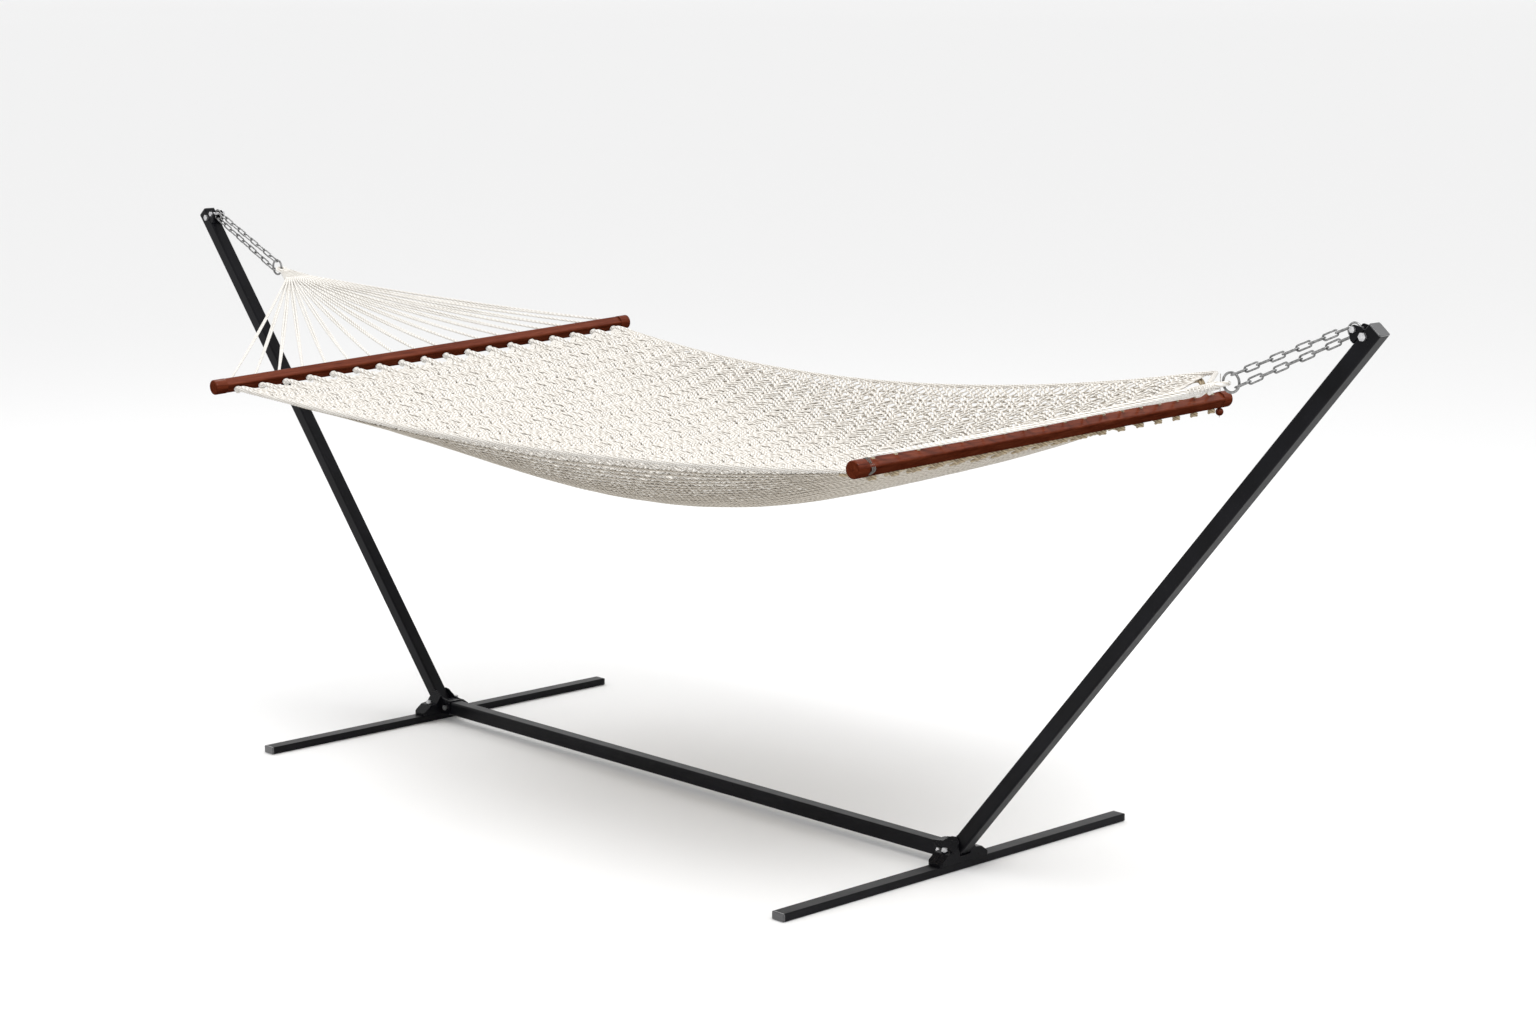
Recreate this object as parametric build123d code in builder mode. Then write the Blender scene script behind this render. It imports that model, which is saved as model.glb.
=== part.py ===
from build123d import *
import os
from math import cos, pi, radians, sin, tan

# A rope hammock with two spreader bars, hung by doubled chains from a tubular steel stand.
# Millimetres. +X runs along the stand, +Y across it and +Z up. The origin is on the ground,
# under the middle of the base beam. "near" is the -Y side and "far" the +Y side.

# ---- the stand ----
FOOT_LENGTH = 1220.0
FOOT_WIDTH = 40.0
FOOT_HEIGHT = 20.0
FOOT_CORNER = 3.0
FOOT_WALL = 1.5
FOOT_X = 1034.0  # from the middle to each foot's centre line
FOOT_CAP = 5.0  # length of a foot cap outside its tube
TUBE = 38.0  # square tube of the base beam and the posts
TUBE_CORNER = 5.0
TUBE_WALL = 1.6
PLUG_DEPTH = 18.0
PLUG_GAP = 0.2
POST_FOOT = Vector(FOOT_X - 9.4, 0, 33.5)  # middle of the right post's lower end
POST_HEAD = Vector(2205.0, 0, 1420.0)  # middle of its cap's top
POST_CAP = 3.5
BEAM_END = FOOT_X - 25.0

# ---- the foot brackets, pressed from sheet ----
SHEET = 3.0
WING_REACH = 86.0  # how far a wing reaches along the foot
WING_DEPTH = 46.0  # its size along X
CHEEK_START = FOOT_X - 64.0
WEB_HEIGHT = 16.0
WING_BOLT_Y = 49.0
BEAM_BOLT_X = FOOT_X - 43.0
BEAM_MIDDLE_Z = FOOT_HEIGHT + TUBE / 2
POST_BOLT_UP = 18.0  # up the post from its lower end

# ---- fasteners ----
M8 = 8.0
M8_HEX = 13.0
M8_HEAD = 5.3
M10 = 10.0
M10_HEX = 17.0
M10_HEAD = 6.4
HOLE_SLACK = 0.4

# ---- the hangers at the post heads ----
PIN = Vector(2151.0, 0, 1416.0)  # the right hanger pin, and the height of the swing axis
EAR_GAP = 32.0
EAR = 3.0
EAR_TOP = 20.0  # below the post's head
EAR_BOTTOM = 60.0
EAR_TIP = 8.0
TONGUE = 6.0
LOCK_BOLT = (10.0, 31.0)  # inward from the post's axis, and down from its head

# ---- chains and rings ----
LINK_WIRE = 4.5
LINK_INSIDE = 36.6
LINK_WIDTH = 17.0
LINKS = 9
LINK_GAP = 0.3
HOOK_RING = 16.0  # radius of the wire's centre line
HOOK_RING_WIRE = 5.0
CLEW_RING = 22.0
CLEW_RING_WIRE = 6.0
CLEW_RING_AT = Vector(1824.0, 0, 1271.0)
HOOK_SPREAD = 62.0  # degrees between the middle of the hook ring and each strand
CLEW_SPREAD = 60.0

# ---- spreader bars ----
BAR_LENGTH = 1459.0
BAR_SIDE = 31.0
BAR_CORNER = 5.0
BAR_TIP = 35.0  # length of the round tip at each end
TIP_RADIUS = 20.5
BAR_END_ROUND = 3.5
BAR_TURN = 35.0  # the section is turned about the bar
LEFT_BAR_AT = Vector(-1053.0, 0, 1077.0)
LEFT_BAR_YAW = -1.25
LEFT_BAR_RISE = 0.048  # the far end hangs higher
RIGHT_BAR_AT = Vector(1319.0, 0, 1108.0)
RIGHT_BAR_YAW = 5.28
RIGHT_BAR_RISE = 0.0
HOLES = 18
HOLE_PITCH = 78.0
BAR_HOLE = 9.0
LEFT_BORE = -BAR_TURN  # the holes point this far up from +X: square to the left bar's faces
RIGHT_BORE = -90.0  # and straight down through the right bar
LEFT_LIFT = 20.5  # from the bar's middle, back along its holes, to the ends of the clew cords
RIGHT_LIFT = 24.0

# ---- ropes and net ----
EYE = 14.0
EYE_ROPE = 12.0
EYE_SLACK = 1.8  # between the eye and the ring that it hangs in
CLEW_CORD = 5.0
CORD_PITCH = 4.3  # between neighbouring cords where they leave the throat
THROAT_THICK = 16.0
KNOT = 14.0
LEFT_KNOT = 22.0  # from the bar's middle, along its holes, to the middle of its knots
RIGHT_KNOT = 27.5
LOOP_CORD = 6.0
BORDER_ROPE = 12.0
NET_THICK = 10.0
NET_HALF = 672.0  # from the middle to a border rope, at the bars
NET_WAIST = 30.0  # the bed is this much slimmer each side at its middle
NET_START = 26.0  # from a bar's middle to the net
TURN_RADIUS = 60.0  # of the far border rope where it passes over the right bar
SHARP = 20.0  # degrees, from which a corner of a rope counts as sharp
NEAR_RIM = (1036.0, 1094.0)  # height of the near border rope at the left and the right bar
FAR_RIM = (1100.0, 1173.0)
NEAR_SAG = 58.0
FAR_SAG = 91.0
BELLY = 144.0  # how far the net hangs below its rims
BELLY_SKEW = 0.7
SLACK = 5.0  # sag of the net between the bars' ends, even right beside a bar
TIE_AT = 700.0  # along the right bar, from its middle
TIE_CORD = 4.0
BEAD = 20.0
WRAP_AT = -694.0
WRAP_TURNS = 3

os.makedirs("parts", exist_ok=True)


def save(part, name):
    """Labels a finished piece and writes it."""
    part.label = name
    export_step(part, f"parts/{name}.step")


def other_end(part):
    """The same piece at the left end of the stand."""
    with BuildPart() as left:
        mirror(part, about=Plane.YZ)
    return left.part


def far_side(part):
    """The same piece on the far side."""
    with BuildPart() as far:
        mirror(part, about=Plane.XZ)
    return far.part


# ================ feet and base beam ================

with BuildPart() as foot_right:
    with BuildSketch(Plane.XZ.offset(-FOOT_LENGTH / 2 + FOOT_CAP)):
        with Locations((FOOT_X, FOOT_HEIGHT / 2)):
            RectangleRounded(FOOT_WIDTH, FOOT_HEIGHT, FOOT_CORNER)
            RectangleRounded(
                FOOT_WIDTH - 2 * FOOT_WALL,
                FOOT_HEIGHT - 2 * FOOT_WALL,
                FOOT_CORNER - FOOT_WALL,
                mode=Mode.SUBTRACT,
            )
    extrude(amount=FOOT_LENGTH - 2 * FOOT_CAP)
    # threaded holes for the wing bolts, in the top wall only
    with BuildSketch(Plane.XY.offset(FOOT_HEIGHT)):
        with Locations((FOOT_X, WING_BOLT_Y), (FOOT_X, -WING_BOLT_Y)):
            Circle((M8 + HOLE_SLACK) / 2)
    extrude(amount=-2 * FOOT_WALL, mode=Mode.SUBTRACT)
save(foot_right.part, "foot_right")
save(other_end(foot_right.part), "foot_left")

with BuildPart() as foot_cap:
    cap_mouth = -FOOT_LENGTH / 2 + FOOT_CAP
    with BuildSketch(Plane.XZ.offset(-cap_mouth)):
        with Locations((FOOT_X, FOOT_HEIGHT / 2)):
            RectangleRounded(FOOT_WIDTH, FOOT_HEIGHT, FOOT_CORNER)
    extrude(amount=FOOT_CAP)
    end_edges = foot_cap.faces().sort_by(Axis.Y)[0].edges()
    fillet(end_edges, radius=2.4)
    with BuildSketch(Plane.XZ.offset(-cap_mouth)):
        with Locations((FOOT_X, FOOT_HEIGHT / 2)):
            RectangleRounded(
                FOOT_WIDTH - 2 * FOOT_WALL - 2 * PLUG_GAP,
                FOOT_HEIGHT - 2 * FOOT_WALL - 2 * PLUG_GAP,
                1.2,
            )
    extrude(amount=-PLUG_DEPTH)
save(foot_cap.part, "foot_cap_right_near")
save(far_side(foot_cap.part), "foot_cap_right_far")
save(other_end(foot_cap.part), "foot_cap_left_near")
save(other_end(far_side(foot_cap.part)), "foot_cap_left_far")

with BuildPart() as base_beam:
    with BuildSketch(Plane.YZ.offset(-BEAM_END)):
        with Locations((0, BEAM_MIDDLE_Z)):
            RectangleRounded(TUBE, TUBE, TUBE_CORNER)
            inside = TUBE - 2 * TUBE_WALL
            RectangleRounded(inside, inside, TUBE_CORNER - TUBE_WALL, mode=Mode.SUBTRACT)
    extrude(amount=2 * BEAM_END)
    with BuildSketch(Plane.XZ.offset(-TUBE)):
        with Locations((BEAM_BOLT_X, BEAM_MIDDLE_Z), (-BEAM_BOLT_X, BEAM_MIDDLE_Z)):
            Circle((M8 + HOLE_SLACK) / 2)
    extrude(amount=2 * TUBE, mode=Mode.SUBTRACT)
save(base_beam.part, "base_beam")


# ================ posts ================

POST_UP = (POST_HEAD - POST_FOOT).normalized()  # along the right post
POST_IN = Vector(-POST_UP.Z, 0, POST_UP.X)  # out of its upper face, towards the hammock
POST_LENGTH = (POST_HEAD - POST_FOOT).length - POST_CAP
# x runs out of the post's upper face and y up the post
post_side = Plane(origin=POST_HEAD, x_dir=POST_IN, z_dir=(0, 1, 0))
post_end = Plane(origin=POST_FOOT, x_dir=(0, 1, 0), z_dir=POST_UP)
POST_BOLT_AT = POST_FOOT + POST_UP * POST_BOLT_UP

with BuildPart() as post_right:
    with BuildSketch(post_end):
        RectangleRounded(TUBE, TUBE, TUBE_CORNER)
        RectangleRounded(inside, inside, TUBE_CORNER - TUBE_WALL, mode=Mode.SUBTRACT)
    extrude(amount=POST_LENGTH)
    # bolt holes at the foot and under the head
    with BuildSketch(Plane.XZ.offset(-TUBE)):
        with Locations((POST_BOLT_AT.X, POST_BOLT_AT.Z)):
            Circle((M8 + HOLE_SLACK) / 2)
    extrude(amount=2 * TUBE, mode=Mode.SUBTRACT)
    with BuildSketch(post_side.offset(-TUBE)):
        with Locations((LOCK_BOLT[0], -LOCK_BOLT[1])):
            Circle((M10 + HOLE_SLACK) / 2)
    extrude(amount=2 * TUBE, mode=Mode.SUBTRACT)
    # slot in the upper face for the hanger's tongue
    with BuildSketch(post_side.offset(-TONGUE / 2 - 0.2)):
        with Locations((TUBE / 2, -LOCK_BOLT[1])):
            Rectangle(8, 27)
    extrude(amount=TONGUE + 0.4, mode=Mode.SUBTRACT)
save(post_right.part, "post_right")
save(other_end(post_right.part), "post_left")

with BuildPart() as post_cap_right:
    with BuildSketch(Plane(origin=POST_HEAD, x_dir=(0, 1, 0), z_dir=POST_UP)):
        RectangleRounded(TUBE, TUBE, TUBE_CORNER)
    extrude(amount=-POST_CAP)
    fillet(post_cap_right.faces().sort_by(Axis.Z)[-1].edges(), radius=1.2)
    with BuildSketch(Plane(origin=POST_HEAD - POST_UP * POST_CAP, x_dir=(0, 1, 0), z_dir=POST_UP)):
        RectangleRounded(inside - 2 * PLUG_GAP, inside - 2 * PLUG_GAP, 3)
        RectangleRounded(inside - 6, inside - 6, 2, mode=Mode.SUBTRACT)
    extrude(amount=-12)
save(post_cap_right.part, "post_cap_right")
save(other_end(post_cap_right.part), "post_cap_left")


# ================ foot brackets ================

CHEEK_TOP = 72.0
BEAM_TOP = FOOT_HEIGHT + TUBE
WING_OUTLINE = [
    (TUBE / 2, FOOT_HEIGHT),
    (TUBE / 2, CHEEK_TOP),
    (TUBE / 2 + SHEET, CHEEK_TOP),
    (38, 50),
    (60, 47),
    (WING_REACH, 27),
    (WING_REACH, FOOT_HEIGHT),
]
WING_HOLLOW = [
    (TUBE / 2 + SHEET, FOOT_HEIGHT),
    (TUBE / 2 + SHEET, CHEEK_TOP - 6),
    (37, 47),
    (59, 44),
    (WING_REACH - SHEET, 25.5),
    (WING_REACH - SHEET, FOOT_HEIGHT),
]

with BuildPart() as bracket_right:
    # a hollow wing that leans out from the cheek along the foot
    with BuildSketch(Plane.YZ.offset(FOOT_X - WING_DEPTH / 2)):
        with BuildLine():
            Polyline(*WING_OUTLINE, close=True)
        make_face()
    extrude(amount=WING_DEPTH)
    with BuildSketch(Plane.YZ.offset(FOOT_X - WING_DEPTH / 2 + SHEET)):
        with BuildLine():
            Polyline(*WING_HOLLOW, close=True)
        make_face()
    extrude(amount=WING_DEPTH - 2 * SHEET, mode=Mode.SUBTRACT)
    wing_end = bracket_right.edges().filter_by(Axis.Z).group_by(Axis.Y)[-1]
    fillet(wing_end, radius=8)
    # the cheek, flat against the beam and the post
    with BuildSketch(Plane.XZ.offset(-TUBE / 2)) as cheek:
        with BuildLine():
            Polyline(
                (CHEEK_START, FOOT_HEIGHT + 0.5),
                (FOOT_X + WING_DEPTH / 2, FOOT_HEIGHT + 0.5),
                (FOOT_X + WING_DEPTH / 2, 72),
                (FOOT_X + 14, 84),
                (FOOT_X - 4, 82),
                (FOOT_X - 30, 66),
                (CHEEK_START, BEAM_TOP + SHEET),
                close=True,
            )
        make_face()
        fillet(cheek.vertices().group_by(Axis.Z)[-1], radius=8)
    extrude(amount=-SHEET)
    # the other half, and the strap over the beam that joins the two
    mirror(about=Plane.XZ)
    with BuildSketch(Plane.XY.offset(BEAM_TOP)):
        with Locations(((CHEEK_START + BEAM_END) / 2, 0)):
            Rectangle(BEAM_END - CHEEK_START, TUBE + SHEET)
    extrude(amount=SHEET)
    # the web that closes the outer end under the post
    with BuildSketch(Plane.XY.offset(FOOT_HEIGHT + 0.5)):
        with Locations((FOOT_X + (WING_DEPTH - SHEET) / 2, 0)):
            Rectangle(SHEET, TUBE + SHEET)
    extrude(amount=WEB_HEIGHT)
    # bolt holes
    with BuildSketch(Plane.XZ.offset(-TUBE)):
        with Locations((BEAM_BOLT_X, BEAM_MIDDLE_Z), (POST_BOLT_AT.X, POST_BOLT_AT.Z)):
            Circle((M8 + HOLE_SLACK) / 2)
    extrude(amount=2 * TUBE, mode=Mode.SUBTRACT)
    with BuildSketch(Plane.XY.offset(60)):
        with Locations((FOOT_X, WING_BOLT_Y), (FOOT_X, -WING_BOLT_Y)):
            Circle((M8 + HOLE_SLACK) / 2)
    extrude(amount=-40, mode=Mode.SUBTRACT)
save(bracket_right.part, "bracket_right")
save(other_end(bracket_right.part), "bracket_left")


# ================ fasteners ================


def bolt(plane, size, hexagon, head, shank):
    """A hex-head bolt: its head stands on the plane and its shank runs down from it."""
    with BuildPart() as made:
        with BuildSketch(plane):
            RegularPolygon(hexagon / 2, 6, major_radius=False)
        extrude(amount=head)
        with BuildSketch(plane):
            Circle(size / 2)
        extrude(amount=-shank)
    return made.part


def nut(plane, size, hexagon, height):
    """A hex nut that stands on the plane, a hair clear of its bolt."""
    with BuildPart() as made:
        with BuildSketch(plane):
            RegularPolygon(hexagon / 2, 6, major_radius=False)
            Circle(size / 2 + 0.1, mode=Mode.SUBTRACT)
        extrude(amount=height)
    return made.part


def across(x, z, y, facing):
    """A plane square to Y at height z, whose normal points to the near or the far side."""
    return Plane(origin=(x, y, z), x_dir=(1, 0, 0), z_dir=(0, facing, 0))


CHEEK_FACE = TUBE / 2 + SHEET
BOLT_SPOTS = [(BEAM_BOLT_X, BEAM_MIDDLE_Z), (POST_BOLT_AT.X, POST_BOLT_AT.Z)]
BOTH_ENDS = [(end * x, z) for end in (-1, 1) for x, z in BOLT_SPOTS]

with BuildPart() as bracket_bolts:
    for x, z in BOTH_ENDS:
        add(bolt(across(x, z, -CHEEK_FACE, -1), M8, M8_HEX, M8_HEAD, 2 * CHEEK_FACE + 9))
save(bracket_bolts.part, "bracket_bolts")

with BuildPart() as bracket_nuts:
    for x, z in BOTH_ENDS:
        add(nut(across(x, z, CHEEK_FACE, 1), M8, M8_HEX, 6.5))
save(bracket_nuts.part, "bracket_nuts")

# the wing's top is nearly level under each wing bolt, and a thick washer evens it out
WING_SEAT = 50.4
with BuildPart() as wing_bolts:
    for end in (-1, 1):
        for side in (-1, 1):
            seat = Plane(origin=(end * FOOT_X, side * WING_BOLT_Y, WING_SEAT + 1.6))
            add(bolt(seat, M8, M8_HEX, M8_HEAD, WING_SEAT + 1.6 - 6))
save(wing_bolts.part, "wing_bolts")

with BuildPart() as wing_washers:
    for end in (-1, 1):
        for side in (-1, 1):
            with BuildSketch(Plane(origin=(end * FOOT_X, side * WING_BOLT_Y, WING_SEAT))):
                Circle(8.5)
                Circle(M8 / 2 + 0.15, mode=Mode.SUBTRACT)
            extrude(amount=1.6)
save(wing_washers.part, "wing_washers")


# ================ hangers ================

# the pin's place in the post's own frame: out from its axis and up from its head
PIN_OUT = (PIN - POST_HEAD).dot(POST_IN)
PIN_UP = (PIN - POST_HEAD).dot(POST_UP)
FACE = TUBE / 2

with BuildPart() as hanger_right:
    # one ear, then its twin
    with BuildSketch(post_side.offset(EAR_GAP / 2)) as ear:
        with BuildLine():
            Polyline(
                (FACE, -EAR_TOP),
                (FACE + 9, -EAR_TOP),
                (PIN_OUT + EAR_TIP - 1, PIN_UP + 8),
                (PIN_OUT + EAR_TIP, PIN_UP - 8),
                (FACE + 9, -EAR_BOTTOM),
                (FACE, -EAR_BOTTOM),
                close=True,
            )
        make_face()
        outer = ear.vertices().filter_by(lambda v: (v.center() - POST_HEAD).dot(POST_IN) > FACE + 1)
        fillet(outer, radius=5)
        with Locations((PIN_OUT, PIN_UP)):
            Circle((M8 + HOLE_SLACK) / 2, mode=Mode.SUBTRACT)
    extrude(amount=EAR)
    mirror(about=Plane.XZ)
    # the back plate on the post's upper face
    with BuildSketch(post_side.offset(-EAR_GAP / 2 - EAR)):
        with Locations((FACE + EAR / 2, -(EAR_TOP + EAR_BOTTOM) / 2)):
            Rectangle(EAR, EAR_BOTTOM - EAR_TOP)
    extrude(amount=EAR_GAP + 2 * EAR)
    # the tongue that goes through the slot into the post
    with BuildSketch(post_side.offset(-TONGUE / 2)):
        with Locations(((FACE - 4) / 2 + 1, -LOCK_BOLT[1])):
            Rectangle(FACE + 6, 26)
        with Locations((LOCK_BOLT[0], -LOCK_BOLT[1])):
            Circle((M10 + HOLE_SLACK) / 2, mode=Mode.SUBTRACT)
    extrude(amount=TONGUE)
save(hanger_right.part, "hanger_right")
save(other_end(hanger_right.part), "hanger_left")

EAR_FACE = EAR_GAP / 2 + EAR
with BuildPart() as hanger_pin_right:
    add(bolt(across(PIN.X, PIN.Z, -EAR_FACE, -1), M8, M8_HEX, M8_HEAD, 2 * EAR_FACE + 9))
save(hanger_pin_right.part, "hanger_pin_right")
save(other_end(hanger_pin_right.part), "hanger_pin_left")

with BuildPart() as hanger_pin_nuts:
    for end in (-1, 1):
        add(nut(across(end * PIN.X, PIN.Z, EAR_FACE, 1), M8, M8_HEX, 6.5))
save(hanger_pin_nuts.part, "hanger_pin_nuts")

LOCK_AT = POST_HEAD + POST_IN * LOCK_BOLT[0] - POST_UP * LOCK_BOLT[1]
with BuildPart() as lock_bolts:
    for end in (-1, 1):
        near_face = across(end * LOCK_AT.X, LOCK_AT.Z, -FACE, -1)
        add(bolt(near_face, M10, M10_HEX, M10_HEAD, TUBE + 12))
save(lock_bolts.part, "lock_bolts")

with BuildPart() as lock_nuts:
    for end in (-1, 1):
        add(nut(across(end * LOCK_AT.X, LOCK_AT.Z, FACE, 1), M10, M10_HEX, 8.0))
save(lock_nuts.part, "lock_nuts")


# ================ chains and rings ================


def turned(direction, angle):
    """A direction in the XZ plane, turned towards +Z from +X by some degrees."""
    c, s = cos(radians(angle)), sin(radians(angle))
    return Vector(direction.X * c - direction.Z * s, 0, direction.X * s + direction.Z * c)


PULL = (CLEW_RING_AT - PIN).normalized()  # from the right pin to its clew ring
HOOK_RING_AT = PIN + PULL * (HOOK_RING - (M8 + HOOK_RING_WIRE) / 2 - LINK_GAP)

with BuildPart() as hook_ring_right:
    with Locations(HOOK_RING_AT):
        Torus(HOOK_RING, HOOK_RING_WIRE / 2, rotation=(90, 0, 0))
save(hook_ring_right.part, "hook_ring_right")
save(other_end(hook_ring_right.part), "hook_ring_left")

with BuildPart() as clew_ring_right:
    with Locations(CLEW_RING_AT):
        Torus(CLEW_RING, CLEW_RING_WIRE / 2, rotation=(90, 0, 0))
save(clew_ring_right.part, "clew_ring_right")
save(other_end(clew_ring_right.part), "clew_ring_left")

# one link, lying along X in the XY plane
HALF_RUN = (LINK_INSIDE + LINK_GAP + LINK_WIRE) / 2 - (LINK_WIDTH - LINK_WIRE) / 2
BEND = (LINK_WIDTH - LINK_WIRE) / 2
with BuildPart() as link:
    with BuildLine() as loop:
        Line((-HALF_RUN, BEND), (HALF_RUN, BEND))
        ThreePointArc((HALF_RUN, BEND), (HALF_RUN + BEND, 0), (HALF_RUN, -BEND))
        Line((HALF_RUN, -BEND), (-HALF_RUN, -BEND))
        ThreePointArc((-HALF_RUN, -BEND), (-HALF_RUN - BEND, 0), (-HALF_RUN, BEND))
    with BuildSketch(Plane(origin=(0, BEND, 0), z_dir=(1, 0, 0))):
        Circle(LINK_WIRE / 2)
    sweep(path=loop.line)


def strand(start, finish):
    """Links one after another, each turned a quarter round from the last; the end ones lie flat."""
    run = finish - start
    step = run / LINKS
    with BuildPart() as links:
        for k in range(LINKS):
            middle = start + step * (k + 0.5)
            if k % 2:
                lie = Plane(origin=middle, x_dir=run, z_dir=(0, 1, 0))
            else:
                lie = Plane(origin=middle, x_dir=run, z_dir=run.cross(Vector(0, 1, 0)))
            with Locations(lie.location):
                add(link.part)
    return links.part


for name, turn in (("upper", 1), ("lower", -1)):
    hook_inside = HOOK_RING - (HOOK_RING_WIRE + LINK_WIRE) / 2 - LINK_GAP
    clew_inside = CLEW_RING - (CLEW_RING_WIRE + LINK_WIRE) / 2 - LINK_GAP
    hook_point = HOOK_RING_AT + turned(PULL, -turn * HOOK_SPREAD) * hook_inside
    clew_point = CLEW_RING_AT - turned(PULL, turn * CLEW_SPREAD) * clew_inside
    towards = (clew_point - hook_point).normalized()
    first = hook_point + towards * LINK_WIRE / 2
    last = clew_point - towards * LINK_WIRE / 2
    print(f"chain {name}: {(last - first).length:.1f} mm for {LINKS} links of {LINK_INSIDE}")
    right_strand = strand(first, last)
    save(right_strand, f"chain_right_{name}")
    save(other_end(right_strand), f"chain_left_{name}")


# ================ spreader bars ================


def bar_along(yaw, rise):
    """The direction of a bar, from its near to its far end."""
    return Vector(-sin(radians(yaw)), cos(radians(yaw)), rise).normalized()


def bar_spots(middle, along):
    """The middles of the bar's holes, from the near to the far end."""
    return [middle + along * (k - (HOLES - 1) / 2) * HOLE_PITCH for k in range(HOLES)]


def bore_along(along, tilt):
    """The direction of a bar's holes, square to the bar, from the clew's side to the bed's side."""
    level = Vector(along.Y, -along.X, 0).normalized()
    upward = level.cross(along)
    return level * cos(radians(tilt)) + upward * sin(radians(tilt))


def spreader_bar(middle, along, bore, extra_holes=()):
    """A square bar, turned on edge, with round tips and a row of holes."""
    start = middle - along * BAR_LENGTH / 2
    level = Vector(along.Y, -along.X, 0)
    with BuildPart() as bar:
        with BuildSketch(Plane(origin=start, x_dir=level, z_dir=along)):
            RectangleRounded(BAR_SIDE, BAR_SIDE, BAR_CORNER, rotation=BAR_TURN)
        extrude(amount=BAR_LENGTH)
        for end in (-1, 1):
            tip = middle + along * (end * BAR_LENGTH / 2)
            with BuildSketch(Plane(origin=tip, x_dir=level, z_dir=along * -end)):
                Circle(TIP_RADIUS)
            extrude(amount=BAR_TIP)
        ends = bar.faces().sort_by(Axis.Y)
        fillet(ends[0].edges() + ends[-1].edges(), radius=BAR_END_ROUND)
        with BuildSketch(Plane(origin=middle - bore * BAR_SIDE, x_dir=along, z_dir=bore)):
            with GridLocations(HOLE_PITCH, 0, HOLES, 1):
                Circle(BAR_HOLE / 2)
            for offset in extra_holes:
                with Locations((offset, 0)):
                    Circle(TIE_CORD / 2 + 1)
        extrude(amount=2 * BAR_SIDE, mode=Mode.SUBTRACT)
    return bar.part


LEFT_ALONG = bar_along(LEFT_BAR_YAW, LEFT_BAR_RISE)
RIGHT_ALONG = bar_along(RIGHT_BAR_YAW, RIGHT_BAR_RISE)
LEFT_BORING = bore_along(LEFT_ALONG, LEFT_BORE)
RIGHT_BORING = bore_along(RIGHT_ALONG, RIGHT_BORE)
TIE_SPOT = RIGHT_BAR_AT + RIGHT_ALONG * TIE_AT
save(spreader_bar(LEFT_BAR_AT, LEFT_ALONG, LEFT_BORING), "bar_left")
save(spreader_bar(RIGHT_BAR_AT, RIGHT_ALONG, RIGHT_BORING, [TIE_AT]), "bar_right")


# ================ the bed ================


def bed_yaw(t):
    """The bed's cross sections turn from one bar's yaw to the other's; t is 0 left, 1 right."""
    return radians(LEFT_BAR_YAW * (1 - t) + RIGHT_BAR_YAW * t)


def bed_middle(t):
    left, right = LEFT_BAR_AT.X + NET_START, RIGHT_BAR_AT.X - NET_START
    return left * (1 - t) + right * t


def bed_half(t):
    return NET_HALF - NET_WAIST * (1 - (2 * t - 1) ** 2)


def bed_height(t, s):
    """Height of the net's middle surface; s is -1 at the near rim and 1 at the far rim."""
    u = 2 * t - 1
    near = NEAR_RIM[0] * (1 - t) + NEAR_RIM[1] * t - NEAR_SAG * (1 - u * u)
    far = FAR_RIM[0] * (1 - t) + FAR_RIM[1] * t - FAR_SAG * (1 - u * u)
    rim = near * (1 - s) / 2 + far * (1 + s) / 2
    belly = BELLY * (1 - abs(u) ** 1.8) * (1 + BELLY_SKEW * u) * (1 - abs(s) ** 5)
    belly += SLACK * (1 - s * s)
    # the right bar is level, and only the far corner is drawn up towards the ring
    share = (1 + s) / 2
    corner = (FAR_RIM[1] - NEAR_RIM[1]) * (share - share**8) * t**5
    return rim - belly - corner


def bed_point(t, s, inset=0.0):
    """A point of the net's middle surface, in the stand's frame."""
    reach = s * (bed_half(t) - inset)
    yaw = bed_yaw(t)
    return Vector(bed_middle(t) - reach * sin(yaw), reach * cos(yaw), bed_height(t, s))


STATIONS = [0, 0.06, 0.15, 0.27, 0.4, 0.54, 0.68, 0.8, 0.9, 0.96, 1]
ACROSS = [-1, -0.93, -0.82, -0.62, -0.3, 0.05, 0.4, 0.66, 0.84, 0.94, 1]
RIM_INSET = BORDER_ROPE / 2 + 1

with BuildPart() as net:
    for t in STATIONS:
        yaw = bed_yaw(t)
        section = Plane(
            origin=(bed_middle(t), 0, 0),
            x_dir=(-sin(yaw), cos(yaw), 0),
            z_dir=(cos(yaw), sin(yaw), 0),
        )
        half = bed_half(t) - RIM_INSET
        top = [(s * half, bed_height(t, s) + NET_THICK / 2) for s in ACROSS]
        under = [(s * half, bed_height(t, s) - NET_THICK / 2) for s in reversed(ACROSS)]
        with BuildSketch(section):
            with BuildLine():
                Polyline(*top, *under, close=True)
            make_face()
    loft(ruled=True)
save(net.part, "net")


def rope(points, diameter, name):
    """A rope along straight runs joined by the largest arcs that the runs allow."""
    radii = []
    for before, corner, after in zip(points, points[1:], points[2:]):
        into, out = corner - before, after - corner
        shorter = min(into.length, out.length)
        angle = into.get_angle(out)
        widest = 0.45 * shorter / tan(radians(angle) / 2)
        radii.append(min(widest, TURN_RADIUS) if angle > SHARP else widest)
    with BuildPart() as made:
        with BuildLine() as route:
            FilletPolyline(*points, radius=radii)
        path = route.wires()[0]
        with BuildSketch(Plane(origin=path @ 0, z_dir=path % 0)):
            Circle(diameter / 2)
        sweep(path=path)
    ideal = pi * diameter**2 / 4 * path.length
    print(
        f"{name}: {path.length:.0f} mm long, tightest radius {min(radii):.0f} mm,"
        f" volume {made.part.volume / ideal:.4f} of its section times its length"
    )
    return made.part


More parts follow.
